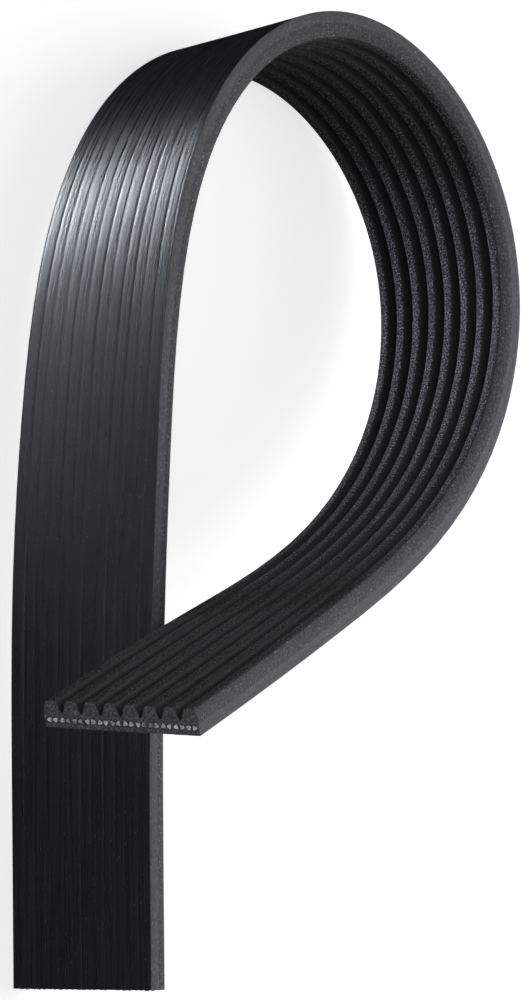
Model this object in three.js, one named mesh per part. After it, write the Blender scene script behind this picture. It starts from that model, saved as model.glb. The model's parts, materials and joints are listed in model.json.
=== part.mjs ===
// A cut length of V-ribbed belt, curled into an open loop and lying on one edge.
//
// The belt is a band that bends only about its own width and twists about its own
// length, so its section is drawn once and swept through one chain of stations.
// Lengths are in millimetres and angles in degrees. The finished belt has +Z up, its
// straight leg runs along +Y, and the origin is under the middle of its outline.

import * as THREE from 'three';
import { ConvexHull } from 'three/addons/math/ConvexHull.js';

// Ribs: pitch from one rib to the next, and the form of one rib
const RIB_COUNT = 8;
const RIB_PITCH = 3.56;
const RIB_DEPTH = 2.1;
const RIB_TIP_WIDTH = 1.5;
const RIB_FLANK_ANGLE = 20;
const RIB_TIP_CHAMFER = 0.25;

// Sides: what the slitting knife takes off the outer flank of each outer rib
const SIDE_TRIM = 0.34;

// Layers, from the smooth back to the roots of the ribs
const BACKING_THICKNESS = 0.8;
const CORD_DIAMETER = 0.9;
const CUSHION_THICKNESS = 0.6;
const BOND_CLEARANCE = 0.06;

// Tensile cords lie side by side in close pairs, up to a thin wall at each side
const CORD_GAP_IN_PAIR = 0.14;
const CORD_GAP_BETWEEN_PAIRS = 0.34;
const SIDE_WALL_MINIMUM = 0.2;

// Lay: a flat foot, then stretches of belt, each with the length and the bend radius
// that it ends at. A radius is on the rib side, or negative on the back's side.
const FOOT_LENGTH = 20;
const LEG_LENGTH = 35;
const LEG_RADIUS = 435;
const LEG_TOP_LENGTH = 35;
const LEG_TOP_RADIUS = 625;
const LEAD_IN_LENGTH = 30;
const LEAD_IN_RADIUS = 93.5;
const SHOULDER_LENGTH = 30;
const SHOULDER_RADIUS = 46.9;
const CROWN_LENGTH = 35;
const CROWN_RADIUS = 30.6;
const OVER_TOP_LENGTH = 35;
const OVER_TOP_RADIUS = 37;
const FALL_LENGTH = 40;
const FALL_RADIUS = 61.3;
const LEAD_OUT_LENGTH = 40;
const LEAD_OUT_RADIUS = 105;
const TAIL_LENGTH = 40;
const TAIL_RADIUS = -5000;
const TAIL_END_LENGTH = 46;
const TAIL_END_RADIUS = -3300;

// Twist that each stretch ends at, in degrees over TWIST_SPAN. Bend and twist change
// evenly along a stretch.
const TWIST_SPAN = 1000;
const CURL = [
  { length: LEG_LENGTH, radius: LEG_RADIUS, twist: 70 },
  { length: LEG_TOP_LENGTH, radius: LEG_TOP_RADIUS, twist: -120 },
  { length: LEAD_IN_LENGTH, radius: LEAD_IN_RADIUS, twist: -155 },
  { length: SHOULDER_LENGTH, radius: SHOULDER_RADIUS, twist: -180 },
  { length: CROWN_LENGTH, radius: CROWN_RADIUS, twist: -220 },
  { length: OVER_TOP_LENGTH, radius: OVER_TOP_RADIUS, twist: -65 },
  { length: FALL_LENGTH, radius: FALL_RADIUS, twist: -145 },
  { length: LEAD_OUT_LENGTH, radius: LEAD_OUT_RADIUS, twist: -215 },
  { length: TAIL_LENGTH, radius: TAIL_RADIUS, twist: -180 },
  { length: TAIL_END_LENGTH, radius: TAIL_END_RADIUS, twist: 0 },
];

// The belt rests on a side of its hull that faces within this angle of its lower edge
const RESTING_SIDE_ANGLE = 45;

// Fineness of the sweep
const WALK_STEP = 0.5;
const TURN_PER_STATION = 10.4;
const TWIST_PER_STATION = 2.7;
const LENGTH_PER_STATION = 24;
const COLUMNS_ACROSS = 6;
const CORD_SIDES = 5;

// Levels of the section, measured inwards from the back
const cordTop = BACKING_THICKNESS + BOND_CLEARANCE;
const cordAxisLevel = cordTop + CORD_DIAMETER / 2;
const channelFloor = cordTop + CORD_DIAMETER + BOND_CLEARANCE;
const rootLevel = channelFloor + CUSHION_THICKNESS;
const tipLevel = rootLevel + RIB_DEPTH;

// Places across the belt, measured from its middle
const halfWidth = (RIB_COUNT * RIB_PITCH) / 2 - SIDE_TRIM;
const pairPitch = 2 * CORD_DIAMETER + CORD_GAP_IN_PAIR + CORD_GAP_BETWEEN_PAIRS;
const cordRoom = 2 * (halfWidth - SIDE_WALL_MINIMUM - BOND_CLEARANCE);
const pairCount = Math.floor((cordRoom + CORD_GAP_BETWEEN_PAIRS) / pairPitch);
const cordBand = pairCount * pairPitch - CORD_GAP_BETWEEN_PAIRS;
const channelHalf = cordBand / 2 + BOND_CLEARANCE;

const rubber = (color, roughness) => new THREE.MeshStandardMaterial({ color, roughness, metalness: 0 });
const ribRubber = rubber('#2b2c2e', 0.85);
const backingRubber = rubber('#222326', 0.45);
const cordFibre = new THREE.MeshStandardMaterial({ color: '#c9c8c2', roughness: 0.8, metalness: 0 });

// Bend (1/mm) and twist (radians per mm) at a distance along the belt
function curlAt(distance) {
  let from = { at: FOOT_LENGTH, bend: 0, twist: 0 };
  for (const { length, radius, twist } of CURL) {
    if (distance <= from.at) break;
    const turn = THREE.MathUtils.degToRad(twist) / TWIST_SPAN;
    const to = { at: from.at + length, bend: 1 / radius, twist: turn };
    if (distance < to.at) {
      const share = (distance - from.at) / length;
      const bend = THREE.MathUtils.lerp(from.bend, to.bend, share);
      return { bend, twist: THREE.MathUtils.lerp(from.twist, to.twist, share) };
    }
    from = to;
  }
  return from;
}

// Walks one stretch of belt from a start frame and returns the frame at each of its
// stations. A frame's X runs along the belt, its Y across to the upper edge, and its
// Z from the back towards the rib tips.
function walk(start, from, length, stationCount) {
  const stepsPerStation = Math.ceil(length / stationCount / WALK_STEP);
  const step = length / stationCount / stepsPerStation;
  const point = start.point.clone();
  const turn = start.turn.clone();
  const along = new THREE.Vector3();
  const spin = new THREE.Vector3();
  const halfStep = new THREE.Quaternion();
  const frames = [];
  for (let i = 0; i < stationCount * stepsPerStation; i += 1) {
    const { bend, twist } = curlAt(from + (i + 0.5) * step);
    spin.set(twist, -bend, 0);
    halfStep.setFromAxisAngle(spin.clone().normalize(), (spin.length() * step) / 2);
    turn.multiply(halfStep);
    point.addScaledVector(along.set(1, 0, 0).applyQuaternion(turn), step);
    turn.multiply(halfStep).normalize();
    if ((i + 1) % stepsPerStation === 0) frames.push({ point: point.clone(), turn: turn.clone() });
  }
  return frames;
}

// Stations a stretch needs, so that none turns or twists far past the last
function stationsFor(from, length) {
  const samples = Math.ceil(length / WALK_STEP);
  let turned = 0;
  let twisted = 0;
  for (let i = 0; i < samples; i += 1) {
    const { bend, twist } = curlAt(from + ((i + 0.5) * length) / samples);
    turned += (Math.abs(bend) * length) / samples;
    twisted += (Math.abs(twist) * length) / samples;
  }
  const { radToDeg } = THREE.MathUtils;
  return Math.ceil(
    Math.max(
      radToDeg(turned) / TURN_PER_STATION,
      radToDeg(twisted) / TWIST_PER_STATION,
      length / LENGTH_PER_STATION,
    ),
  );
}

function layBelt() {
  const frames = [{ point: new THREE.Vector3(), turn: new THREE.Quaternion() }];
  frames.push(...walk(frames[0], 0, FOOT_LENGTH, 1));
  let reached = FOOT_LENGTH;
  for (const { length } of CURL) {
    frames.push(...walk(frames.at(-1), reached, length, stationsFor(reached, length)));
    reached += length;
  }
  return frames;
}

// Sweeps a closed outline of [across, inwards] points, which runs counter-clockwise
// seen along the belt, through all frames and closes both ends. Every strip is split
// along the same diagonal, so layers that face each other warp alike.
function sweep(outline, frames) {
  const count = outline.length;
  const positions = [];
  for (const { point, turn } of frames) {
    for (const [across, inwards] of outline) {
      const corner = new THREE.Vector3(0, across, inwards).applyQuaternion(turn).add(point);
      positions.push(corner.x, corner.y, corner.z);
    }
  }
  const faces = [];
  for (let station = 0; station + 1 < frames.length; station += 1) {
    for (let i = 0; i < count; i += 1) {
      const next = (i + 1) % count;
      const a = station * count + i;
      const b = station * count + next;
      const c = a + count;
      const d = b + count;
      if (outline[next][0] > outline[i][0]) faces.push(a, b, d, a, d, c);
      else faces.push(a, b, c, b, d, c);
    }
  }
  const contour = outline.map(([across, inwards]) => new THREE.Vector2(across, inwards));
  const last = (frames.length - 1) * count;
  for (const [i, j, k] of THREE.ShapeUtils.triangulateShape(contour, [])) {
    faces.push(k, j, i, last + i, last + j, last + k);
  }
  const geometry = new THREE.BufferGeometry();
  geometry.setAttribute('position', new THREE.Float32BufferAttribute(positions, 3));
  geometry.setIndex(faces);
  return geometry;
}

// Points between two places across the belt at one level, both ends included
function row(from, to, level) {
  return Array.from({ length: COLUMNS_ACROSS + 1 }, (_, i) => {
    return [THREE.MathUtils.lerp(from, to, i / COLUMNS_ACROSS), level];
  });
}

const flankSlope = Math.tan(THREE.MathUtils.degToRad(RIB_FLANK_ANGLE));

// Half the width of a rib at a depth below its tip, and the depth where it is that wide
const ribHalfAt = (depth) => RIB_TIP_WIDTH / 2 + depth * flankSlope;
const ribDepthAt = (half) => (half - RIB_TIP_WIDTH / 2) / flankSlope;

// Ribbed rubber: ribs, cushion and the thin walls beside the outer cords. The outline
// goes over the ribs from the lower side to the upper, then back round the channel.
// The outer flanks end where they meet the slit sides, or at a ledge beside the root.
function ribBodyOutline() {
  const outerMiddle = ((RIB_COUNT - 1) / 2) * RIB_PITCH;
  const sideDepth = Math.min(RIB_DEPTH, ribDepthAt(halfWidth - outerMiddle));
  const chamferDepth = RIB_TIP_CHAMFER * Math.cos(THREE.MathUtils.degToRad(RIB_FLANK_ANGLE));
  const shoulder = ribHalfAt(chamferDepth);
  const crest = RIB_TIP_WIDTH / 2 - RIB_TIP_CHAMFER;
  const outline = [];
  for (let rib = 0; rib < RIB_COUNT; rib += 1) {
    const middle = rib * RIB_PITCH - outerMiddle;
    const lowerDepth = rib === 0 ? sideDepth : RIB_DEPTH;
    const upperDepth = rib === RIB_COUNT - 1 ? sideDepth : RIB_DEPTH;
    outline.push(
      [middle - ribHalfAt(lowerDepth), tipLevel - lowerDepth],
      [middle - shoulder, tipLevel - chamferDepth],
      [middle - crest, tipLevel],
      [middle + crest, tipLevel],
      [middle + shoulder, tipLevel - chamferDepth],
      [middle + ribHalfAt(upperDepth), tipLevel - upperDepth],
    );
  }
  if (sideDepth === RIB_DEPTH) {
    outline.unshift([-halfWidth, rootLevel]);
    outline.push([halfWidth, rootLevel]);
  }
  const channel = row(channelHalf, -channelHalf, channelFloor);
  outline.push([halfWidth, cordTop], [channelHalf, cordTop], ...channel);
  outline.push([-channelHalf, cordTop], [-halfWidth, cordTop]);
  return outline.reverse();
}

// Smooth cover over the cords, split across where the channel under it is
function backingOutline() {
  const back = row(-halfWidth, halfWidth, 0);
  const bonded = row(channelHalf, -channelHalf, BACKING_THICKNESS);
  return [...back, [halfWidth, BACKING_THICKNESS], ...bonded, [-halfWidth, BACKING_THICKNESS]];
}

function cordOutline(across) {
  return Array.from({ length: CORD_SIDES }, (_, i) => {
    const angle = (2 * Math.PI * i) / CORD_SIDES;
    const radius = CORD_DIAMETER / 2;
    return [across + radius * Math.cos(angle), cordAxisLevel + radius * Math.sin(angle)];
  });
}

// Middles of the cords across the belt, from the lower side to the upper
function cordPlaces() {
  const places = [];
  for (let pair = 0; pair < pairCount; pair += 1) {
    const first = -cordBand / 2 + CORD_DIAMETER / 2 + pair * pairPitch;
    places.push(first, first + CORD_DIAMETER + CORD_GAP_IN_PAIR);
  }
  return places;
}

function namedMesh(name, outline, material, frames) {
  const mesh = new THREE.Mesh(sweep(outline, frames), material);
  mesh.name = name;
  return mesh;
}

// Centre of volume of closed meshes
function centreOfVolume(meshes) {
  const centre = new THREE.Vector3();
  const [a, b, c] = [new THREE.Vector3(), new THREE.Vector3(), new THREE.Vector3()];
  let volume = 0;
  for (const { geometry } of meshes) {
    const { position } = geometry.attributes;
    const index = geometry.index.array;
    for (let i = 0; i < index.length; i += 3) {
      a.fromBufferAttribute(position, index[i]);
      b.fromBufferAttribute(position, index[i + 1]);
      c.fromBufferAttribute(position, index[i + 2]);
      const wedge = a.dot(b.clone().cross(c)) / 6;
      volume += wedge;
      centre.addScaledVector(a.add(b).add(c), wedge / 4);
    }
  }
  return centre.divideScalar(volume);
}

// Lays the belt on the floor as it comes to rest on its lower edge: on the face of its
// hull that faces that way and is nearest to its centre of volume. The leg then
// points along +Y and the origin goes under the middle of the outline.
function layDown(belt, frames) {
  const corners = belt.children.flatMap(({ geometry }) => {
    const { position } = geometry.attributes;
    const corner = (_, i) => new THREE.Vector3().fromBufferAttribute(position, i);
    return Array.from({ length: position.count }, corner);
  });
  const lowerEdge = new THREE.Vector3();
  for (const { turn } of frames) lowerEdge.add(new THREE.Vector3(0, -1, 0).applyQuaternion(turn));
  lowerEdge.normalize();
  const facing = Math.cos(THREE.MathUtils.degToRad(RESTING_SIDE_ANGLE));
  const centre = centreOfVolume(belt.children);
  const resting = new ConvexHull()
    .setFromPoints(corners)
    .faces.filter(({ normal }) => normal.dot(lowerEdge) > facing)
    .reduce((best, face) => (face.distanceToPoint(centre) > best.distanceToPoint(centre) ? face : best));

  const settle = new THREE.Quaternion().setFromUnitVectors(resting.normal, new THREE.Vector3(0, 0, -1));
  const leg = new THREE.Vector3(1, 0, 0).applyQuaternion(settle);
  const heading = new THREE.Quaternion().setFromAxisAngle(
    new THREE.Vector3(0, 0, 1),
    Math.PI / 2 - Math.atan2(leg.y, leg.x),
  );
  belt.quaternion.copy(heading.multiply(settle));
  belt.updateMatrixWorld(true);
  const placed = corners.map((corner) => corner.applyMatrix4(belt.matrixWorld));
  const box = new THREE.Box3().setFromPoints(placed);
  const middle = box.getCenter(new THREE.Vector3());
  belt.position.set(-middle.x, -middle.y, -box.min.z);
}

const frames = layBelt();
const belt = new THREE.Group();
belt.add(namedMesh('rib_body', ribBodyOutline(), ribRubber, frames));
belt.add(namedMesh('backing', backingOutline(), backingRubber, frames));
cordPlaces().forEach((across, i) => {
  const name = `tensile_cord_${String(i + 1).padStart(2, '0')}`;
  belt.add(namedMesh(name, cordOutline(across), cordFibre, frames));
});
layDown(belt, frames);

export default belt;
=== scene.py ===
"""A cut length of V-ribbed belt, dressed in moulded rubber and twisted tensile cords.

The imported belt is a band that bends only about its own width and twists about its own
length. Each layer is modelled straight and flat, in millimetres, with X along the belt
from the cut foot, Y across it to the upper edge, and Z from the smooth back towards the
rib tips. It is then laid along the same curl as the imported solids, in metres.
"""

import json
import logging
import math
from collections.abc import Callable
from dataclasses import dataclass, replace
from enum import Enum

import bpy
import numpy as np
from mathutils import Matrix, Vector

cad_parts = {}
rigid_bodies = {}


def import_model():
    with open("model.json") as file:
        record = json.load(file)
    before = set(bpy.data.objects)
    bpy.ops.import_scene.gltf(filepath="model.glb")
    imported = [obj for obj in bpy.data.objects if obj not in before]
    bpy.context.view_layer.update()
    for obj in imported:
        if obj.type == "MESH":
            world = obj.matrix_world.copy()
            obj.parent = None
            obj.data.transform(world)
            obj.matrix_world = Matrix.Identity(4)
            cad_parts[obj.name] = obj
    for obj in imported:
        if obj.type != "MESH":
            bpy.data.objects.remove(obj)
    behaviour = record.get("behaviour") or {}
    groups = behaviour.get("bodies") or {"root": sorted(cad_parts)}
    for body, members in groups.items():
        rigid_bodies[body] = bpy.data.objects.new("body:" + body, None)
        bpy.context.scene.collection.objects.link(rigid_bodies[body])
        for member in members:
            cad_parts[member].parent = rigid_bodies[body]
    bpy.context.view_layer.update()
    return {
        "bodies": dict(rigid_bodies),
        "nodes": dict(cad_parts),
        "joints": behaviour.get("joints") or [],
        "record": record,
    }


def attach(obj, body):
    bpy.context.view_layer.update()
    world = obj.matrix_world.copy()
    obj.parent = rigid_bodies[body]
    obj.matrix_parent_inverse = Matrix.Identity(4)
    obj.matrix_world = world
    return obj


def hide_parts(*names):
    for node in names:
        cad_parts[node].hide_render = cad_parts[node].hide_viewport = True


LOG = logging.getLogger("belt")
BODY = "root"
FLAT_PLACE = "flat_place"
MM = 0.001
Y_AXIS = (0.0, 1.0, 0.0)
Z_AXIS = (0.0, 0.0, 1.0)

# A face is square to an axis if its normal has more than this share along it.
SQUARE_ON = 0.9

# Faces that meet at less than this angle, in degrees, are shaded as one.
SMOOTH_BELOW = 38.0

Span = tuple[float, float]
Point = tuple[float, float, float]
Piece = bpy.types.Object
Face = bpy.types.MeshPolygon
Tree = bpy.types.NodeTree
Socket = bpy.types.NodeSocket


class Slot(Enum):
    """The record's material slots."""

    RIB = "rib_rubber"
    BACKING = "backing_rubber"
    CORD = "cord_fibre"


class Twist(Enum):
    """The two hands that a cord's strands are laid in."""

    LEFT = -1
    RIGHT = 1


@dataclass(frozen=True)
class Stretch:
    """A stretch of belt, with the bend and twist that it ends at.

    Attributes:
        length: Length along the belt, in mm.
        radius: Bend radius on the rib side in mm, negative on the back's side.
        twist: Twist in degrees per metre.
    """

    length: float
    radius: float
    twist: float


@dataclass(frozen=True)
class BeltSection:
    """Sizes of the belt's section in mm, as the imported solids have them."""

    rib_count: int = 8
    rib_pitch: float = 3.56
    rib_depth: float = 2.1
    rib_flank_angle: float = 20.0
    side_trim: float = 0.34
    backing_thickness: float = 0.8
    bond_clearance: float = 0.06
    cord_diameter: float = 0.9
    cushion_thickness: float = 0.6
    cord_gap_in_pair: float = 0.14
    cord_gap_between_pairs: float = 0.34
    pair_count: int = 12

    @property
    def half_width(self) -> float:
        """Half the width over the slit sides."""
        return self.rib_count * self.rib_pitch / 2 - self.side_trim

    @property
    def cord_level(self) -> float:
        """Level of the cords' middles."""
        return self.backing_thickness + self.bond_clearance + self.cord_diameter / 2

    @property
    def root_level(self) -> float:
        """Level of the rib roots."""
        cushion_floor = self.backing_thickness + 2 * self.bond_clearance + self.cord_diameter
        return cushion_floor + self.cushion_thickness

    @property
    def pair_step(self) -> float:
        """Distance between the middles of a pair's two cords."""
        return self.cord_diameter + self.cord_gap_in_pair

    @property
    def pair_pitch(self) -> float:
        """Distance from one pair of cords to the next."""
        return self.pair_step + self.cord_diameter + self.cord_gap_between_pairs

    @property
    def first_cord(self) -> float:
        """Place across of the lowest cord's middle."""
        band = self.pair_count * self.pair_pitch - self.cord_gap_between_pairs
        return -band / 2 + self.cord_diameter / 2

    def cord_places(self) -> list[float]:
        """Middles of the cords across the belt, from the lower side to the upper."""
        firsts = [self.first_cord + i * self.pair_pitch for i in range(self.pair_count)]
        return [place for first in firsts for place in (first, first + self.pair_step)]


class BeltLay:
    """The curl that the belt lies in, and the belt's frame at each place along it.

    The frame's X runs along the belt, its Y across to the upper edge, and its Z from the
    back towards the rib tips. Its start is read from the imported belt's two mounts.
    """

    foot_length: float = 20.0
    curl: tuple[Stretch, ...] = (
        Stretch(35, 435, 70),
        Stretch(35, 625, -120),
        Stretch(30, 93.5, -155),
        Stretch(30, 46.9, -180),
        Stretch(35, 30.6, -220),
        Stretch(35, 37, -65),
        Stretch(40, 61.3, -145),
        Stretch(40, 105, -215),
        Stretch(40, -5000, -180),
        Stretch(46, -3300, 0),
    )
    walk_step: float = 0.5
    back_mount_from_cut: float = 10.0

    def __init__(self, record: dict) -> None:
        """Walks the curl from the cut foot to the cut tail.

        Args:
            record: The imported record, whose mounts give the foot's place and axes.
        """
        knots = np.cumsum([0.0, self.foot_length] + [part.length for part in self.curl])
        self.length = float(knots[-1])
        self._knots = knots
        self._bends = np.array([0, 0] + [1 / part.radius for part in self.curl])
        self._twists = np.radians([0, 0] + [part.twist for part in self.curl]) * MM
        self._walk(*self._start(record))

    def _start(self, record: dict) -> tuple[np.ndarray, np.ndarray]:
        """Finds the start of the belt from its mounts.

        Args:
            record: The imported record.

        Returns:
            The back's middle at the cut, in mm, and the frame's axes as columns.
        """
        mounts = {mount["name"]: mount for mount in record["mounts"]}
        back = mounts["back_at_foot"]
        along = -np.array(mounts["cut_end_of_leg"]["axis"])
        across = np.cross(-np.array(back["axis"]), along)
        across /= np.linalg.norm(across)
        point = np.array(back["pos_m"]) / MM - self.back_mount_from_cut * along
        return point, np.stack([along, across, np.cross(along, across)], axis=1)

    def _walk(self, point: np.ndarray, turn: np.ndarray) -> None:
        """Steps along the belt and keeps the frame at each step.

        Args:
            point: The back's middle at the cut, in mm.
            turn: The frame's axes there, as columns.
        """
        steps = round(self.length / self.walk_step)
        points = [point]
        turns = [turn]
        for i in range(steps):
            middle = (i + 0.5) * self.walk_step
            spin = self.twist_at(middle), -self.bend_at(middle), 0.0
            half = self._half_turn(spin)
            turn = turn @ half
            point = point + turn[:, 0] * self.walk_step
            turn = turn @ half
            points.append(point)
            turns.append(turn)
        self._points = np.array(points)
        self._turns = np.array(turns)

    def _half_turn(self, spin: tuple[float, float, float]) -> np.ndarray:
        """Rotation over half a step of the walk.

        Args:
            spin: Rotation per mm about the frame's own axes.

        Returns:
            A 3 by 3 rotation.
        """
        axis = Vector(spin)
        angle = axis.length * self.walk_step / 2
        return np.array(Matrix.Rotation(angle, 3, axis), float) if angle else np.eye(3)

    def bend_at(self, distance: float) -> float:
        """Bend at a distance along the belt, in 1/mm."""
        return float(np.interp(distance, self._knots, self._bends))

    def twist_at(self, distance: float) -> float:
        """Twist at a distance along the belt, in radians per mm."""
        return float(np.interp(distance, self._knots, self._twists))

    def stations(self, turn: float, longest: float) -> np.ndarray:
        """Distances along the belt that are close together where it turns most.

        Args:
            turn: Most that the belt turns from one station to the next, in degrees.
            longest: Longest stretch from one station to the next, in mm.

        Returns:
            The distances in mm, from 0 to the belt's length.
        """
        fine = np.arange(0.0, self.length + self.walk_step / 2, self.walk_step)
        rate = np.array([math.hypot(self.bend_at(s), self.twist_at(s)) for s in fine])
        density = np.maximum(np.degrees(rate) / turn, 1 / longest)
        reached = np.concatenate([[0.0], np.cumsum((density[1:] + density[:-1]) / 2 * self.walk_step)])
        count = math.ceil(reached[-1])
        return np.interp(np.linspace(0, reached[-1], count + 1), reached, fine)

    def place(self, flat: np.ndarray) -> np.ndarray:
        """Carries flat points onto the curl.

        Args:
            flat: Rows of distance along, place across and level, in mm.

        Returns:
            Rows of x, y and z in the part's frame, in metres.
        """
        reach = np.clip(flat[:, 0] / self.walk_step, 0, len(self._points) - 1)
        low = np.minimum(reach.astype(int), len(self._points) - 2)
        share = (reach - low)[:, None]
        beyond = (flat[:, 0] - np.clip(flat[:, 0], 0, self.length))[:, None]
        point = self._points[low] * (1 - share) + self._points[low + 1] * share
        frame = self._turns[low] * (1 - share[:, None]) + self._turns[low + 1] * share[:, None]
        frame /= np.linalg.norm(frame, axis=1, keepdims=True)
        along, across, inwards = frame[:, :, 0], frame[:, :, 1], frame[:, :, 2]
        return (point + beyond * along + flat[:, 1:2] * across + flat[:, 2:3] * inwards) * MM


def linear(hex_colour: str) -> tuple[float, float, float, float]:
    """Turns an sRGB hex colour into linear RGBA.

    Args:
        hex_colour: A colour such as #2b2c2e.

    Returns:
        The linear colour, opaque.
    """
    parts = [int(hex_colour[i : i + 2], 16) / 255 for i in (1, 3, 5)]
    red, green, blue = (p / 12.92 if p <= 0.04045 else ((p + 0.055) / 1.055) ** 2.4 for p in parts)
    return red, green, blue, 1.0


def add_node(tree: Tree, kind: str, inputs: dict | None = None, **settings: object) -> bpy.types.Node:
    """Adds a node with its settings and its links.

    Args:
        tree: The node tree.
        kind: The node's type name.
        inputs: Values or output sockets, by the name or number of the input.
        settings: The node's own properties.

    Returns:
        The new node.
    """
    node = tree.nodes.new(kind)
    for name, value in settings.items():
        setattr(node, name, value)
    for name, value in (inputs or {}).items():
        if isinstance(value, Socket):
            tree.links.new(value, node.inputs[name])
        else:
            node.inputs[name].default_value = value
    return node


def new_material(name: str) -> tuple[bpy.types.Material, bpy.types.Node]:
    """Makes an empty node material.

    Args:
        name: The material's name.

    Returns:
        The material and its output node.
    """
    material = bpy.data.materials.new(name)
    material.use_nodes = True
    material.node_tree.nodes.clear()
    return material, material.node_tree.nodes.new("ShaderNodeOutputMaterial")


@dataclass(frozen=True)
class RubberFinish:
    """A black rubber surface with a grain that follows the belt.

    Attributes:
        name: Name of the material.
        colour: Colour of the rubber.
        shade: Colour of its darker patches.
        fleck: Colour of its paler flecks.
        speck: Colour of the fibre ends and dust that show as specks.
        roughness: Roughness of the shine, where it is glossiest and dullest.
        specular: Level of the shine.
        grain: Size of the grain along, across and inwards, in mm.
        grain_height: Height of the grain in mm.
        grit: Size of the flecks and the fine grit along, across and inwards, in mm.
        grit_height: Height of the grit in mm.
        speck_spacing: Distance between specks in mm.
        speck_share: Share of the surface that specks cover.
        ior: Index of refraction of filled rubber.
        noise_range: The stretch of a noise that is spread over 0 to 1.
        peak_range: The stretch of the grit that the flecks fade in over.
        speck_blur: Where a speck begins to show and is full, in shares of its reach.
    """

    name: str
    colour: str
    shade: str
    fleck: str
    speck: str
    roughness: Span
    specular: float
    grain: Point
    grain_height: float
    grit: Point
    grit_height: float
    speck_spacing: float
    speck_share: float
    ior: float = 1.5
    noise_range: Span = (0.28, 0.72)
    peak_range: Span = (0.5, 0.85)
    speck_blur: Span = (1.3, 0.7)

    def build(self) -> bpy.types.Material:
        """Builds the material.

        Returns:
            The finished material.
        """
        material, output = new_material(self.name)
        tree = material.node_tree
        place = add_node(tree, "ShaderNodeAttribute", attribute_name=FLAT_PLACE).outputs["Vector"]
        grain = self._noise(tree, place, self.grain, detail=3.0)
        grit = self._noise(tree, place, self.grit, detail=2.0)
        relief = {}
        for pattern, height in ((grain, self.grain_height), (grit, self.grit_height)):
            shape = {"Strength": 1.0, "Distance": height * MM, "Height": pattern}
            bump = add_node(tree, "ShaderNodeBump", shape | relief)
            relief = {"Normal": bump.outputs["Normal"]}
        dullness = add_node(
            tree, "ShaderNodeMapRange", {0: grain, 3: self.roughness[0], 4: self.roughness[1]}
        )
        shader = add_node(
            tree,
            "ShaderNodeBsdfPrincipled",
            {
                "Base Color": self._colour(tree, place, grain, grit),
                "Roughness": dullness.outputs[0],
                "IOR": self.ior,
                "Specular IOR Level": self.specular,
            }
            | relief,
        )
        tree.links.new(shader.outputs["BSDF"], output.inputs["Surface"])
        return material

    def _in_steps(self, tree: Tree, place: Socket, size: Point) -> Socket:
        """Adds the flat place, counted in steps of a pattern's size instead of in mm."""
        steps = {0: place, 1: tuple(1 / part for part in size)}
        return add_node(tree, "ShaderNodeVectorMath", steps, operation="MULTIPLY").outputs[0]

    def _noise(self, tree: Tree, place: Socket, size: Point, detail: float) -> Socket:
        """Adds a noise pattern of a size in mm.

        Args:
            tree: The material's nodes.
            place: Output that gives the flat place in mm.
            size: Size of the pattern along, across and inwards, in mm.
            detail: Levels of finer detail.

        Returns:
            The pattern, spread over 0 to 1.
        """
        steps = self._in_steps(tree, place, size)
        noise = add_node(tree, "ShaderNodeTexNoise", {"Vector": steps, "Scale": 1.0, "Detail": detail})
        return self._faded_in(tree, noise.outputs[0], self.noise_range)

    def _faded_in(self, tree: Tree, pattern: Socket, stretch: Span) -> Socket:
        """Adds a ramp that spreads a stretch of a pattern over 0 to 1."""
        ramp = {0: pattern, 1: stretch[0], 2: stretch[1]}
        return add_node(tree, "ShaderNodeMapRange", ramp).outputs[0]

    def _colour(self, tree: Tree, place: Socket, grain: Socket, grit: Socket) -> Socket:
        """Adds the colour, with darker patches, paler flecks and pale specks.

        Args:
            tree: The material's nodes.
            place: Output that gives the flat place in mm.
            grain: The grain pattern, from 0 to 1.
            grit: The grit pattern, from 0 to 1.

        Returns:
            The colour.
        """
        steps = self._in_steps(tree, place, (self.speck_spacing,) * 3)
        cells = add_node(tree, "ShaderNodeTexVoronoi", {"Vector": steps, "Scale": 1.0})
        reach = math.sqrt(self.speck_share / math.pi)
        rim, full = (reach * share for share in self.speck_blur)
        specks = self._faded_in(tree, cells.outputs["Distance"], (rim, full))
        uneven = {0: specks, 1: cells.outputs["Color"]}
        bright = add_node(tree, "ShaderNodeMath", uneven, operation="MULTIPLY")
        colour = linear(self.shade)
        for share, paint in (
            (grain, self.colour),
            (self._faded_in(tree, grit, self.peak_range), self.fleck),
            (bright.outputs[0], self.speck),
        ):
            paints = {0: share, 6: colour, 7: linear(paint)}
            colour = add_node(tree, "ShaderNodeMix", paints, data_type="RGBA").outputs[2]
        return colour


# EPDM cover rubber, cured against a smooth sleeve: a satin black with fine streaks
# along the belt, a faint pebble that breaks its highlight, and a little dust. The pebble
# is drawn coarser than it is, or it wouldn't show.
COVER_RUBBER = RubberFinish(
    name="satin_epdm_cover",
    colour="#18191c",
    shade="#101113",
    fleck="#1e1f22",
    speck="#85878b",
    roughness=(0.24, 0.34),
    specular=0.5,
    grain=(22.0, 0.5, 0.5),
    grain_height=0.013,
    grit=(0.3, 0.27, 0.27),
    grit_height=0.026,
    speck_spacing=1.0,
    speck_share=0.018,
)

# EPDM cover and cushion rubber slit by a knife: a plain, slightly violet matt grey.
SLIT_RUBBER = RubberFinish(
    name="slit_epdm_cover_side",
    colour="#5b5b61",
    shade="#48484d",
    fleck="#6a6a70",
    speck="#a6a8ab",
    roughness=(0.6, 0.75),
    specular=0.3,
    grain=(5.0, 0.5, 0.3),
    grain_height=0.02,
    grit=(0.6, 0.3, 0.3),
    grit_height=0.015,
    speck_spacing=1.2,
    speck_share=0.04,
)

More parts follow.
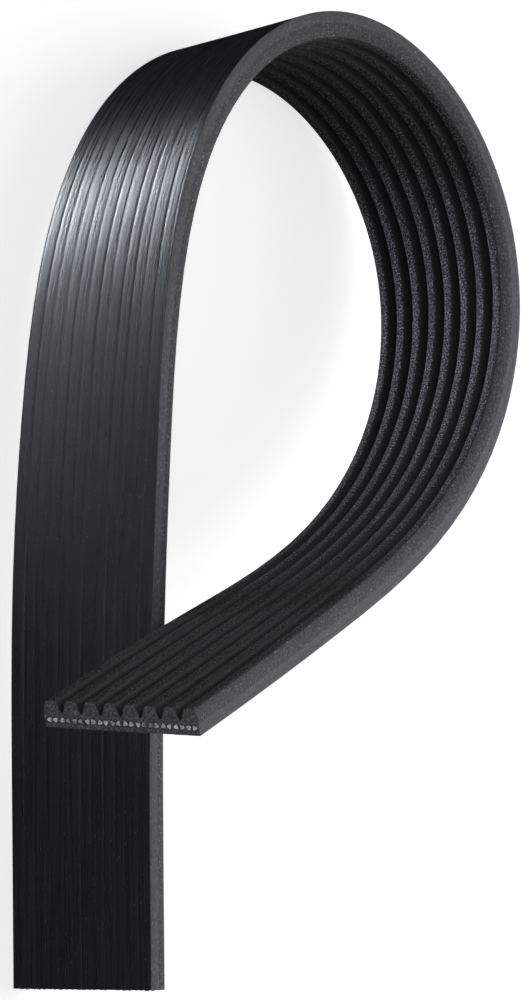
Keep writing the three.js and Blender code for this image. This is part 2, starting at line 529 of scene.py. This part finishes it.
# The fibre-filled rib rubber slit by the same knife: darker, with torn grit and pale
# fibre ends. They are drawn coarser than they are, or they wouldn't show.
SLIT_RIB_RUBBER = RubberFinish(
    name="slit_epdm_rib_side",
    colour="#3e4143",
    shade="#282b2d",
    fleck="#636668",
    speck="#b3b5b6",
    roughness=(0.6, 0.8),
    specular=0.3,
    grain=(0.9, 0.5, 0.5),
    grain_height=0.05,
    grit=(0.4, 0.3, 0.3),
    grit_height=0.03,
    speck_spacing=0.9,
    speck_share=0.07,
)

# EPDM rib rubber filled with short fibres and moulded: a dull, even black. It is darker
# than the tips partly for the moulded skin and partly as painted shade between the ribs.
MOULDED_FLANK_WITH_PAINTED_SHADE = RubberFinish(
    name="moulded_fibre_epdm_flank_with_painted_shade",
    colour="#232425",
    shade="#18191a",
    fleck="#2d2e2f",
    speck="#77787a",
    roughness=(0.55, 0.65),
    specular=0.25,
    grain=(3.0, 0.6, 0.6),
    grain_height=0.02,
    grit=(0.5, 0.35, 0.35),
    grit_height=0.012,
    speck_spacing=1.1,
    speck_share=0.02,
)

# The same rubber ground level on the rib tips: pebbled, with pale fibre ends. Both are
# drawn coarser than they are, or they wouldn't show. Its colour is paler than the flanks'
# partly for the ground fibres and partly as painted light for the light on the tips.
GROUND_TIP_WITH_PAINTED_LIGHT = RubberFinish(
    name="ground_fibre_epdm_tip_with_painted_light",
    colour="#3a3b3c",
    shade="#111112",
    fleck="#838487",
    speck="#c4c6c8",
    roughness=(0.5, 0.62),
    specular=0.12,
    grain=(0.5, 0.4, 0.4),
    grain_height=0.06,
    grit=(0.35, 0.3, 0.3),
    grit_height=0.04,
    speck_spacing=0.8,
    speck_share=0.06,
)

# The same rubber where the belt is chopped square: dull and slightly torn.
CUT_RUBBER = RubberFinish(
    name="chopped_epdm_end",
    colour="#4a4d4e",
    shade="#2c2e2f",
    fleck="#6a6d6f",
    speck="#a9adae",
    roughness=(0.65, 0.85),
    specular=0.25,
    grain=(0.5, 0.5, 0.5),
    grain_height=0.06,
    grit=(0.3, 0.3, 0.3),
    grit_height=0.02,
    speck_spacing=0.9,
    speck_share=0.05,
)

# Polyester cord, twisted from strands and chopped: pale fibre ends with dark gaps.
CORD_FIBRE = RubberFinish(
    name="chopped_polyester_cord",
    colour="#f6f7f7",
    shade="#797b7c",
    fleck="#fdfdfd",
    speck="#fdfdfd",
    roughness=(0.5, 0.7),
    specular=0.5,
    grain=(0.6, 0.45, 0.45),
    grain_height=0.04,
    grit=(0.3, 0.2, 0.2),
    grit_height=0.02,
    speck_spacing=0.45,
    speck_share=0.08,
)

# The same cord where the knife smeared rubber over it.
SMEARED_CORD_FIBRE = replace(
    CORD_FIBRE,
    name="smeared_polyester_cord",
    colour="#b4b6b7",
    shade="#4b4d4e",
    fleck="#cfd0d1",
)

# The cords' dip, which bonds them to the rubber and leaves their sides dark.
CORD_DIP = RubberFinish(
    name="dipped_polyester_cord",
    colour="#55524d",
    shade="#34322f",
    fleck="#6d6963",
    speck="#8b8780",
    roughness=(0.5, 0.6),
    specular=0.4,
    grain=(0.5, 0.15, 0.15),
    grain_height=0.01,
    grit=(0.2, 0.1, 0.1),
    grit_height=0.005,
    speck_spacing=0.3,
    speck_share=0.03,
)


def select_nothing() -> None:
    """Deselects every object, so that an operator acts on new work only."""
    bpy.ops.object.select_all(action="DESELECT")


def leave_edit() -> None:
    """Goes back from edit mode to object mode."""
    bpy.ops.object.mode_set(mode="OBJECT")


def select_only(piece: Piece) -> None:
    """Selects a piece alone and makes it the active one.

    Args:
        piece: The piece.
    """
    select_nothing()
    piece.select_set(True)
    bpy.context.view_layer.objects.active = piece


def edit(piece: Piece, mode: str = "EDGE") -> None:
    """Opens a piece in edit mode with nothing selected.

    Args:
        piece: The piece.
        mode: VERT, EDGE or FACE.
    """
    select_only(piece)
    bpy.ops.object.mode_set(mode="EDIT")
    bpy.ops.mesh.select_mode(type=mode)
    bpy.ops.mesh.select_all(action="DESELECT")


def select(piece: Piece, mode: str, wanted: Callable[..., bool]) -> None:
    """Opens a piece in edit mode with those of its parts selected that pass a test.

    Args:
        piece: The piece.
        mode: VERT, EDGE or FACE.
        wanted: A test of a vertex's place, of the places of an edge's ends, or of a face.
    """
    edit(piece, mode)
    leave_edit()
    mesh = piece.data
    if mode == "VERT":
        for vertex in mesh.vertices:
            vertex.select = wanted(vertex.co)
    elif mode == "EDGE":
        for edge in mesh.edges:
            edge.select = wanted(*(mesh.vertices[i].co for i in edge.vertices))
    else:
        for face in mesh.polygons:
            face.select = wanted(face)
    bpy.ops.object.mode_set(mode="EDIT")


def bisect_across(piece: Piece, places: list[float]) -> None:
    """Cuts edges along the belt into a piece at places across it.

    Args:
        piece: The piece.
        places: Places across the belt in mm.
    """
    edit(piece)
    for place in places:
        bpy.ops.mesh.select_all(action="SELECT")
        bpy.ops.mesh.bisect(plane_co=(0, place, 0), plane_no=Y_AXIS)
    leave_edit()


def near(value: float, *targets: float, within: float = 1e-3) -> bool:
    """Says whether a value is within a small distance of any of the targets."""
    return any(abs(value - target) < within for target in targets)


def runs_along(first: Vector, second: Vector) -> bool:
    """Says whether an edge runs along the belt."""
    gap = second - first
    return abs(gap.x) > 10 * math.hypot(gap.y, gap.z)


def apply_modifier(piece: Piece, kind: str, **settings: object) -> None:
    """Adds a modifier to a piece and applies it.

    Args:
        piece: The piece.
        kind: The modifier's type name.
        settings: The modifier's settings.
    """
    modifier = piece.modifiers.new(kind.lower(), kind)
    for name, value in settings.items():
        setattr(modifier, name, value)
    select_only(piece)
    bpy.ops.object.modifier_apply(modifier=modifier.name)


def repeat_across(piece: Piece, count: int, step: float, **merging: object) -> None:
    """Repeats a piece across the belt, with a step in mm from one to the next."""
    offset = {"use_constant_offset": True, "constant_offset_displace": (0, step, 0)}
    apply_modifier(piece, "ARRAY", count=count, use_relative_offset=False, **offset, **merging)


def name_piece(name: str) -> Piece:
    """Names the object that was just added, and applies its size and place.

    Args:
        name: Its new name.

    Returns:
        The object.
    """
    piece = bpy.context.active_object
    piece.name = name
    piece.data.name = name
    bpy.ops.object.transform_apply(location=True, rotation=True, scale=True)
    return piece


@dataclass
class BeltLayer:
    """What all layers of the belt share: their section, lay and length."""

    section: BeltSection
    lay: BeltLay
    stations: np.ndarray

    def divide_along(self, piece: Piece) -> None:
        """Divides a straight piece along the belt, evenly, at as many places as stations.

        Args:
            piece: The straight, flat piece.
        """
        select(piece, "EDGE", runs_along)
        bpy.ops.mesh.subdivide(number_cuts=len(self.stations) - 2)
        leave_edit()

    def lay_down(self, piece: Piece) -> None:
        """Keeps each vertex's flat place as an attribute and carries it onto the curl.

        Args:
            piece: The straight, flat piece, evenly divided along the belt.
        """
        count = len(piece.data.vertices)
        flat = np.empty(count * 3)
        piece.data.vertices.foreach_get("co", flat)
        flat = flat.reshape(-1, 3)
        even = np.linspace(0, self.lay.length, len(self.stations))
        past_end = flat[:, 0] - np.clip(flat[:, 0], 0, self.lay.length)
        flat[:, 0] = np.interp(flat[:, 0], even, self.stations) + past_end
        self.settle(flat)
        attribute = piece.data.attributes.new(FLAT_PLACE, "FLOAT_VECTOR", "POINT")
        attribute.data.foreach_set("vector", flat.astype(np.float32).ravel())
        piece.data.vertices.foreach_set("co", self.lay.place(flat).astype(np.float32).ravel())
        piece.data.update()

    def settle(self, flat: np.ndarray) -> None:
        """Leaves the flat places as they are, in a layer whose section is the same all along."""

    def finish(self, piece: Piece, slot: Slot, *nodes: str) -> None:
        """Smooths a laid piece, puts it in its body, and hides and logs the nodes that it stands for.

        Args:
            piece: The piece, in place.
            slot: The record's material slot. Not used.
            nodes: The CAD nodes that it replaces.
        """
        select_only(piece)
        bpy.ops.object.shade_smooth_by_angle(angle=math.radians(SMOOTH_BELOW))
        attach(piece, BODY)
        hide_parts(*nodes)
        LOG.info("%s: %d faces, stands for %s", piece.name, len(piece.data.polygons), nodes)

    def dress(
        self,
        piece: Piece,
        skin: RubberFinish,
        *places: tuple[RubberFinish, Callable[[Face], bool]],
    ) -> None:
        """Gives a straight piece its finishes, by where its faces are and look.

        Args:
            piece: The straight, flat piece.
            skin: Finish of the faces that no test picks.
            places: The other finishes, each with a test of the faces that it covers.
        """
        for finish in (skin, *(finish for finish, _ in places)):
            known = bpy.data.materials.get(finish.name)
            piece.data.materials.append(known or finish.build())
        for face in piece.data.polygons:
            for slot, (_, covers) in enumerate(places, start=1):
                if covers(face):
                    face.material_index = slot

    def at_side(self, face: Face) -> bool:
        """Says whether a face of a flat piece is on one of the slit sides."""
        on_edge = near(abs(face.center.y), self.section.half_width, within=0.02)
        return on_edge and abs(face.normal.y) > SQUARE_ON


def at_end(face: Face) -> bool:
    """Says whether a face of a flat piece is on one of the chopped ends."""
    return abs(face.normal.x) > SQUARE_ON


@dataclass
class Cover(BeltLayer):
    """The smooth cover rubber, drawn into low arches, unevenly deep from pair to pair of cords."""

    pair_sink: float = 0.04
    cord_sink: float = 0.016
    sink_spread: Span = (0.65, 1.35)
    arch_shares: tuple[float, ...] = (0.07, 0.25, 0.5, 0.75, 0.93)
    edge_bevel: float = 0.1
    bevel_segments: int = 2
    leg_depth: float = 0.25
    leg_fade: Span = (20.0, 70.0)
    seed: int = 12

    @property
    def arched_half(self) -> float:
        """Half the width of the arched back, short of its bevelled edges."""
        return self.section.half_width - 2 * self.edge_bevel

    def build(self) -> Piece:
        """Models the cover flat, lays it down and dresses it.

        Returns:
            The finished cover.
        """
        thickness = self.section.backing_thickness
        half = self.section.half_width
        length = self.lay.length
        select_nothing()
        bpy.ops.mesh.primitive_cube_add(
            size=1, location=(length / 2, 0, thickness / 2), scale=(length, 2 * half, thickness)
        )
        cover = name_piece("belt_cover")
        select(cover, "EDGE", lambda a, b: runs_along(a, b) and near(a.z, 0))
        bpy.ops.mesh.bevel(offset=self.edge_bevel, segments=self.bevel_segments)
        leave_edit()
        self._arch(cover)
        self.dress(cover, COVER_RUBBER, (SLIT_RUBBER, self.at_side), (CUT_RUBBER, at_end))
        self.divide_along(cover)
        self.lay_down(cover)
        self.finish(cover, Slot.BACKING, "backing")
        return cover

    def _sink(self, share: float) -> float:
        """How far the back sinks below the arches' tops, in mm.

        Args:
            share: Place across one pair of cords, from 0 at its lower side to 1.

        Returns:
            The depth, before the pair's own strength.
        """
        pair = 1 - abs(math.sin(math.pi * share))
        cord = 1 - abs(math.sin(2 * math.pi * share))
        return self.pair_sink * pair + self.cord_sink * cord

    def _arch(self, cover: Piece) -> None:
        """Sinks the back between each two cords, and deeper between each two pairs.

        Args:
            cover: The flat cover.
        """
        section = self.section
        gap = section.cord_gap_between_pairs / 2
        first = section.first_cord - section.cord_diameter / 2 - gap
        starts = [first + i * section.pair_pitch for i in range(section.pair_count)]
        shares = [side + share / 2 for side in (0.0, 0.5) for share in (0.0, *self.arch_shares)]
        draws = np.random.default_rng(self.seed)
        sinks = {}
        for start in starts:
            strength = draws.uniform(*self.sink_spread)
            for share in shares:
                place = start + share * section.pair_pitch
                if abs(place) < self.arched_half:
                    sinks[place] = strength * self._sink(share)
        bisect_across(cover, sorted(sinks))
        for place, sink in sinks.items():
            select(cover, "VERT", lambda p, at=place: near(p.z, 0) and near(p.y, at))
            bpy.ops.transform.translate(value=(0, 0, sink))
            leave_edit()

    def settle(self, flat: np.ndarray) -> None:
        """Makes the arches shallower on the straight leg, where no bend draws the cover in.

        Args:
            flat: Flat place of each vertex, in mm, changed in place.
        """
        depth = np.interp(flat[:, 0], self.leg_fade, (self.leg_depth, 1))
        arched = np.abs(flat[:, 1]) < self.arched_half
        arched &= flat[:, 2] < self.section.backing_thickness / 2
        flat[arched, 2] *= depth[arched]


@dataclass
class RibBody(BeltLayer):
    """The ribbed rubber, with a bore for each cord."""

    tip_width: float = 1.68
    tip_rounding: float = 0.42
    tip_segments: int = 4
    root_rounding: float = 0.1
    root_segments: int = 3
    cushion_level: float = 2.0
    bore_clearance: float = 0.05
    bore_sides: int = 12
    bond_gap: float = 0.02
    past_end: float = 2.0
    merge_distance: float = 0.001
    weld_distance: float = 0.0005

    def build(self) -> Piece:
        """Models the ribs flat, bores them for the cords, lays them down and dresses them.

        Returns:
            The finished ribbed rubber.
        """
        body = self._one_rib()
        merging = {"use_merge_vertices": True, "merge_threshold": self.merge_distance}
        repeat_across(body, self.section.rib_count, self.section.rib_pitch, **merging)
        self._slit_sides(body)
        self._close(body)
        self._bore(body)
        self._part_cushion(body)
        # The tips take a paler finish and the flanks a darker one: partly the real ground and moulded
        # rubber, partly painted light on the tips and painted shade between the ribs.
        self.dress(
            body,
            MOULDED_FLANK_WITH_PAINTED_SHADE,
            (GROUND_TIP_WITH_PAINTED_LIGHT, self._at_tip),
            (SLIT_RIB_RUBBER, self._at_outer_flank),
            (SLIT_RUBBER, lambda face: self.at_side(face) and face.center.z < self.cushion_level),
            (CUT_RUBBER, at_end),
        )
        self.divide_along(body)
        self.lay_down(body)
        self.finish(body, Slot.RIB, "rib_body")
        return body

    def _one_rib(self) -> Piece:
        """Models the surface of the lowest rib, one pitch wide and as long as the belt.

        Returns:
            The rib's open surface.
        """
        section = self.section
        middle = -(section.rib_count - 1) / 2 * section.rib_pitch
        tip_half = self.tip_width / 2
        root_half = tip_half + section.rib_depth * math.tan(math.radians(section.rib_flank_angle))
        select_nothing()
        bpy.ops.mesh.primitive_plane_add(
            size=1, location=(self.lay.length / 2, middle, section.root_level)
        )
        bpy.context.active_object.scale = (self.lay.length, section.rib_pitch, 1)
        rib = name_piece("belt_rib_body")
        bisect_across(rib, [middle + offset for offset in (-root_half, -tip_half, tip_half, root_half)])
        select(rib, "VERT", lambda p: abs(p.y - middle) < (tip_half + root_half) / 2)
        bpy.ops.transform.translate(value=(0, 0, section.rib_depth))
        leave_edit()
        for half, rounding, segments in (
            (tip_half, self.tip_rounding, self.tip_segments),
            (root_half, self.root_rounding, self.root_segments),
        ):
            select(
                rib,
                "EDGE",
                lambda a, b, at=half: runs_along(a, b) and near(a.y, middle - at, middle + at),
            )
            bpy.ops.mesh.bevel(offset=rounding, segments=segments)
            leave_edit()
        return rib

    def _slit_sides(self, body: Piece) -> None:
        """Trims the outer flanks to the belt's width and runs the sides to the bond.

        Args:
            body: The ribs' open surface.
        """
        half = self.section.half_width
        edit(body)
        for place, side in ((half, {"clear_outer": True}), (-half, {"clear_inner": True})):
            bpy.ops.mesh.select_all(action="SELECT")
            bpy.ops.mesh.bisect(plane_co=(0, place, 0), plane_no=Y_AXIS, **side)
        leave_edit()
        bond = self.section.backing_thickness + self.bond_gap
        select(body, "EDGE", lambda a, b: runs_along(a, b) and near(abs(a.y), half))
        bpy.ops.mesh.extrude_region_move(TRANSFORM_OT_translate={"value": (0, 0, -1)})
        bpy.ops.transform.resize(value=(1, 1, 0), center_override=(0, 0, bond))
        bpy.ops.mesh.bridge_edge_loops()
        leave_edit()

    def _close(self, body: Piece) -> None:
        """Closes both ends of the ribbed rubber.

        Args:
            body: The surface round the rubber, open at its ends.
        """
        for end in (0.0, self.lay.length):
            select(body, "EDGE", lambda a, b, at=end: near(a.x, at) and near(b.x, at))
            bpy.ops.mesh.edge_face_add()
            leave_edit()
        edit(body, "FACE")
        bpy.ops.mesh.select_all(action="SELECT")
        bpy.ops.mesh.remove_doubles(threshold=self.weld_distance)
        bpy.ops.mesh.normals_make_consistent(inside=False)
        leave_edit()

    def _at_outer_flank(self, face: Face) -> bool:
        """Says whether a face of the flat ribs is outside the outermost ribs' tips."""
        outermost = (self.section.rib_count - 1) / 2 * self.section.rib_pitch + self.tip_width / 2
        return abs(face.center.y) > outermost

    def _at_tip(self, face: Face) -> bool:
        """Says whether a face of the flat ribs is on a rib's ground tip."""
        return face.center.z > self.section.root_level + self.section.rib_depth - self.tip_rounding / 4

    def _part_cushion(self, body: Piece) -> None:
        """Cuts the slit sides along the line between cushion rubber and rib rubber.

        Args:
            body: The flat rubber.
        """
        select(body, "FACE", self.at_side)
        bpy.ops.mesh.bisect(plane_co=(0, 0, self.cushion_level), plane_no=Z_AXIS)
        leave_edit()

    def _bore(self, body: Piece) -> None:
        """Bores a hole through the rubber for each cord.

        Args:
            body: The closed rubber.
        """
        section = self.section
        select_nothing()
        bpy.ops.mesh.primitive_cylinder_add(
            vertices=self.bore_sides,
            radius=section.cord_diameter / 2 + self.bore_clearance,
            depth=self.lay.length + 2 * self.past_end,
            location=(self.lay.length / 2, section.first_cord, section.cord_level),
            rotation=(0, math.pi / 2, 0),
        )
        drill = name_piece("cord_drill")
        repeat_across(drill, 2, section.pair_step)
        repeat_across(drill, section.pair_count, section.pair_pitch)
        apply_modifier(body, "BOOLEAN", operation="DIFFERENCE", solver="EXACT", object=drill)
        bpy.data.objects.remove(drill)


@dataclass
class Cord(BeltLayer):
    """One tensile cord: three strands, twisted where its chopped ends show."""

    sides: int = 18
    strand_count: int = 3
    strand_groove: float = 0.3
    twist_length: float = 3.5
    twist_turn: float = 160.0
    clearance: float = 0.01
    cap_rings: tuple[float, ...] = (0.07, 0.13, 0.13)
    tuft: Span = (0.06, 0.3)
    dome_power: float = 0.8
    core_sink: float = 0.12
    end_reach: float = 1e-4
    smeared_share: float = 0.25
    seed: int = 24

    def build_all(self) -> list[Piece]:
        """Models one straight cord and lays a copy of it in each bore.

        Returns:
            The finished cords.
        """
        model = self._straight_cord()
        smeared = SMEARED_CORD_FIBRE.build()
        draws = np.random.default_rng(self.seed)
        cords = []
        for i, across in enumerate(self.section.cord_places()):
            number = f"{i + 1:02d}"
            cord = bpy.data.objects.new(f"twisted_cord_{number}", model.data.copy())
            bpy.context.scene.collection.objects.link(cord)
            hand = Twist.LEFT if i % 2 else Twist.RIGHT
            if draws.random() < self.smeared_share:
                cord.data.materials[1] = smeared
            self._shape(cord, across, hand, draws)
            self.finish(cord, Slot.CORD, f"tensile_cord_{number}")
            cords.append(cord)
        bpy.data.objects.remove(model)
        return cords

    def _straight_cord(self) -> Piece:
        """Models a straight round cord with rings on its end caps.

        Returns:
            The cord, along X through the origin.
        """
        select_nothing()
        bpy.ops.mesh.primitive_cylinder_add(
            vertices=self.sides,
            radius=self.section.cord_diameter / 2 - self.clearance,
            depth=self.lay.length,
            location=(self.lay.length / 2, 0, 0),
            rotation=(0, math.pi / 2, 0),
        )
        cord = name_piece("straight_cord")
        self.divide_along(cord)
        select(cord, "FACE", at_end)
        for width in self.cap_rings:
            bpy.ops.mesh.inset(thickness=width)
        bpy.ops.mesh.poke()
        leave_edit()
        for finish in (CORD_DIP, CORD_FIBRE):
            cord.data.materials.append(finish.build())
        for face in cord.data.polygons:
            face.material_index = int(at_end(face))
        return cord

    def _shape(self, cord: Piece, across: float, hand: Twist, draws: np.random.Generator) -> None:
        """Presses the grooves between the strands, twists the ends and lays the cord down.

        Args:
            cord: A copy of the straight cord.
            across: Its place across the belt, in mm.
            hand: The hand of its twist.
            draws: The seeded source of chance.
        """
        co = np.array([vertex.co for vertex in cord.data.vertices])
        from_end = np.minimum(co[:, 0], self.lay.length - co[:, 0])
        at_tail = co[:, 0] > self.lay.length / 2
        turn = draws.uniform(0, 2 * math.pi, 2)[at_tail.astype(int)]
        radius = np.hypot(co[:, 1], co[:, 2])
        angle = np.arctan2(co[:, 2], co[:, 1]) % (2 * math.pi)
        lobes = 0.5 - 0.5 * np.cos(self.strand_count * angle)
        strand = np.floor(angle * self.strand_count / (2 * math.pi)).astype(int) % self.strand_count
        nearness = radius / (self.section.cord_diameter / 2)
        pressed = radius * (1 - self.strand_groove * (1 - lobes) ** 2 * nearness)
        share = np.clip(1 - from_end / self.twist_length, 0, 1)
        angle = angle + turn + hand.value * math.radians(self.twist_turn) * share
        tufts = draws.uniform(*self.tuft, 2 * self.strand_count)[strand + self.strand_count * at_tail]
        arc = np.sin(math.pi * np.clip(nearness, 0, 1) ** self.dome_power)
        domed = tufts * np.sqrt(lobes) * arc
        out = (domed - self.core_sink * (1 - nearness) ** 2) * (from_end < self.end_reach)
        co[:, 0] += np.where(at_tail, out, -out)
        co[:, 1] = across + pressed * np.cos(angle)
        co[:, 2] = self.section.cord_level + pressed * np.sin(angle)
        cord.data.vertices.foreach_set("co", co.astype(np.float32).ravel())
        self.lay_down(cord)


@dataclass(frozen=True)
class Lamp:
    """A soft square studio lamp that the camera doesn't see.

    Attributes:
        name: Name of the lamp.
        direction: Where it stands, as seen from its target.
        target: The point that it stands off from, in metres.
        distance: Its distance from the target in metres.
        size: Its side in metres.
        power: Its power in watts.
        colour: Its colour.
        spread: Angle in degrees that its honeycomb grid narrows its light to.
        aim: The point that it faces, if that isn't its target.
    """

    name: str
    direction: Point
    target: Point
    distance: float
    size: float
    power: float
    colour: str = "#ffffff"
    spread: float = 180.0
    aim: Point | None = None

    def build(self) -> None:
        """Adds the lamp to the scene."""
        data = bpy.data.lights.new(self.name, "AREA")
        data.size = self.size
        data.energy = self.power
        data.color = linear(self.colour)[:3]
        data.spread = math.radians(self.spread)
        lamp = bpy.data.objects.new(self.name, data)
        bpy.context.scene.collection.objects.link(lamp)
        lamp.location = Vector(self.target) + self.distance * Vector(self.direction).normalized()
        away = lamp.location - Vector(self.aim or self.target)
        lamp.rotation_euler = away.to_track_quat("Z", "Y").to_euler()
        lamp.visible_camera = False


@dataclass
class Studio:
    """The floor, the light and the camera at the photograph's viewing angle."""

    floor_size: float = 6.0
    floor_colour: str = "#e8e8e8"
    floor_lift: float = 0.72
    ground_size: float = 20.0
    ground_drop: float = 0.9
    ground_colour: str = "#050505"
    ambient: float = 0.022
    camera_place: Point = (-0.883561, -0.071774, 0.973353)
    camera_right: Point = (0.729524, -0.030972, 0.683254)
    camera_up: Point = (-0.014644, 0.998038, 0.060878)
    sensor_height: float = 24.0
    focal_length: float = 192.0
    clip_range: Span = (0.01, 50.0)
    middle: Point = (0.0, 0.0, 0.02)
    softbox_distance: float = 0.6
    softbox_size: float = 0.4
    leg: Point = (-0.026, -0.045, 0.015)
    leg_distance: float = 0.3
    leg_size: float = 0.2
    bend: Point = (-0.018, 0.038, 0.016)
    strip_distance: float = 0.5
    grid_distance: float = 0.35
    grid_size: float = 0.056
    grid_spread: float = 28.0
    grid_aim: Point = (0.02, 0.04, 0.018)
    cool_white: str = "#edf4ff"

    def lamps(self) -> list[Lamp]:
        """Lists the soft lamps round the belt, and the low ones that its back mirrors.

        Returns:
            The lamps.
        """
        return self._softboxes() + self._strips() + self._grids()

    def _softboxes(self) -> list[Lamp]:
        """Lists four soft lamps round the belt, and a faint one for the leg's back.

        Returns:
            The lamps.
        """
        round_belt = (
            ("right_softbox", (0.5, 0.05, 0.85), 1.1),
            ("low_right_softbox", (0.95, 0.1, 0.3), 1.4),
            ("left_softbox", (-0.75, -0.6, 0.25), 1.25),
            ("far_softbox", (0.1, 0.95, 0.3), 0.12),
        )
        stand = self.middle, self.softbox_distance, self.softbox_size
        leg_stand = self.leg, self.leg_distance, self.leg_size
        return [Lamp(name, direction, *stand, power) for name, direction, power in round_belt] + [
            Lamp("leg_softbox", (-0.99, 0.0, -0.05), *leg_stand, 0.015, self.cool_white)
        ]

    def _strips(self) -> list[Lamp]:
        """Lists the lamps that the bend mirrors below its highlight.

        Returns:
            The lamps.
        """
        strips = (
            ((-0.85, 0.28, -0.52), 0.16, 0.1),
            ((-0.79, 0.37, -0.57), 0.16, 0.155),
            ((-0.71, 0.46, -0.67), 0.14, 0.03),
        )
        stand = self.bend, self.strip_distance
        return [
            Lamp(f"low_strip_{i}", direction, *stand, size, power, self.cool_white)
            for i, (direction, size, power) in enumerate(strips, start=1)
        ]

    def _grids(self) -> list[Lamp]:
        """Lists the lamps of the highlight, whose honeycomb grids spare the rib tips.

        Returns:
            The lamps.
        """
        stand = self.bend, self.grid_distance, self.grid_size
        grid = {"colour": self.cool_white, "spread": self.grid_spread, "aim": self.grid_aim}
        spots = ((-0.55, 0.58, -0.87), 0.0043), ((-0.38, 0.64, -0.96), 0.028)
        return [
            Lamp(f"low_grid_{i}", direction, *stand, power, **grid)
            for i, (direction, power) in enumerate(spots, start=1)
        ]

    def build(self) -> None:
        """Builds the floor, the world, the lamps and the camera."""
        self._floor()
        self._dark_ground()
        self._world()
        for lamp in self.lamps():
            lamp.build()
        self._camera()

    def _floor(self) -> None:
        """Lays a plain pale floor that shows white and keeps the belt's shadow."""
        select_nothing()
        bpy.ops.mesh.primitive_plane_add(size=self.floor_size)
        floor = name_piece("floor")
        material, output = new_material("matt_white_paper")
        tree = material.node_tree
        paper = add_node(tree, "ShaderNodeBsdfDiffuse", {"Color": linear(self.floor_colour)})
        glow = add_node(tree, "ShaderNodeEmission", {"Strength": self.floor_lift})
        lifted = add_node(tree, "ShaderNodeAddShader", {0: paper.outputs[0], 1: glow.outputs[0]})
        self._show(tree, output, paper, lifted)
        floor.data.materials.append(material)
        floor.visible_shadow = False
        floor.visible_glossy = False
        floor.visible_diffuse = False

    def _dark_ground(self) -> None:
        """Lays a black cloth far below the floor, so that only the lamps shine up."""
        select_nothing()
        bpy.ops.mesh.primitive_plane_add(size=self.ground_size, location=(0, 0, -self.ground_drop))
        ground = name_piece("dark_ground")
        material, output = new_material("black_studio_cloth")
        cloth = add_node(
            material.node_tree, "ShaderNodeBsdfDiffuse", {"Color": linear(self.ground_colour)}
        )
        material.node_tree.links.new(cloth.outputs[0], output.inputs["Surface"])
        ground.data.materials.append(material)

    def _seen_rays(self, tree: Tree) -> Socket:
        """Adds a switch that is on for what the camera, a reflection or glass sees.

        Args:
            tree: The node tree.

        Returns:
            The switch, 0 or 1.
        """
        rays = add_node(tree, "ShaderNodeLightPath").outputs
        seen = rays["Is Camera Ray"]
        for ray in ("Is Glossy Ray", "Is Transmission Ray"):
            either = {0: seen, 1: rays[ray]}
            seen = add_node(tree, "ShaderNodeMath", either, operation="MAXIMUM").outputs[0]
        return seen

    def _show(
        self, tree: Tree, output: bpy.types.Node, unseen: bpy.types.Node, seen: bpy.types.Node
    ) -> None:
        """Shows one shader to the camera, reflections and glass, and another to all other light.

        Args:
            tree: The node tree.
            output: Its output node.
            unseen: The shader for all other light.
            seen: The shader for what is seen.
        """
        pair = {0: self._seen_rays(tree), 1: unseen.outputs[0], 2: seen.outputs[0]}
        shown = add_node(tree, "ShaderNodeMixShader", pair)
        tree.links.new(shown.outputs[0], output.inputs["Surface"])

    def _world(self) -> None:
        """Makes a white world that lights the object softly."""
        world = bpy.data.worlds.new("studio")
        world.use_nodes = True
        tree = world.node_tree
        tree.nodes.clear()
        output = tree.nodes.new("ShaderNodeOutputWorld")
        dim, white = (
            add_node(tree, "ShaderNodeBackground", {"Color": linear("#ffffff"), "Strength": strength})
            for strength in (self.ambient, 1.0)
        )
        self._show(tree, output, dim, white)
        bpy.context.scene.world = world

    def _camera(self) -> None:
        """Puts the camera at the photograph's place, with its height as the sensor's."""
        data = bpy.data.cameras.new("photograph_camera")
        data.sensor_fit = "VERTICAL"
        data.sensor_height = self.sensor_height
        data.lens = self.focal_length
        data.clip_start, data.clip_end = self.clip_range
        camera = bpy.data.objects.new("photograph_camera", data)
        bpy.context.scene.collection.objects.link(camera)
        right = Vector(self.camera_right).normalized()
        back = right.cross(Vector(self.camera_up)).normalized()
        axes = Matrix((right, back.cross(right), back)).transposed()
        camera.matrix_world = Matrix.Translation(self.camera_place) @ axes.to_4x4()
        bpy.context.scene.camera = camera


def main() -> None:
    """Builds the belt's layers and the studio."""
    logging.basicConfig(level=logging.INFO, format="%(name)s: %(message)s")
    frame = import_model()
    lay = BeltLay(frame["record"])
    stations = lay.stations(turn=3.2, longest=6.0)
    LOG.info("belt of %.0f mm with %d stations", lay.length, len(stations))
    section = BeltSection()
    Cover(section, lay, stations).build()
    RibBody(section, lay, stations).build()
    Cord(section, lay, stations).build_all()
    Studio().build()
    bpy.context.scene.view_settings.view_transform = "Standard"
    bpy.context.view_layer.update()


if __name__ == "__main__":
    main()
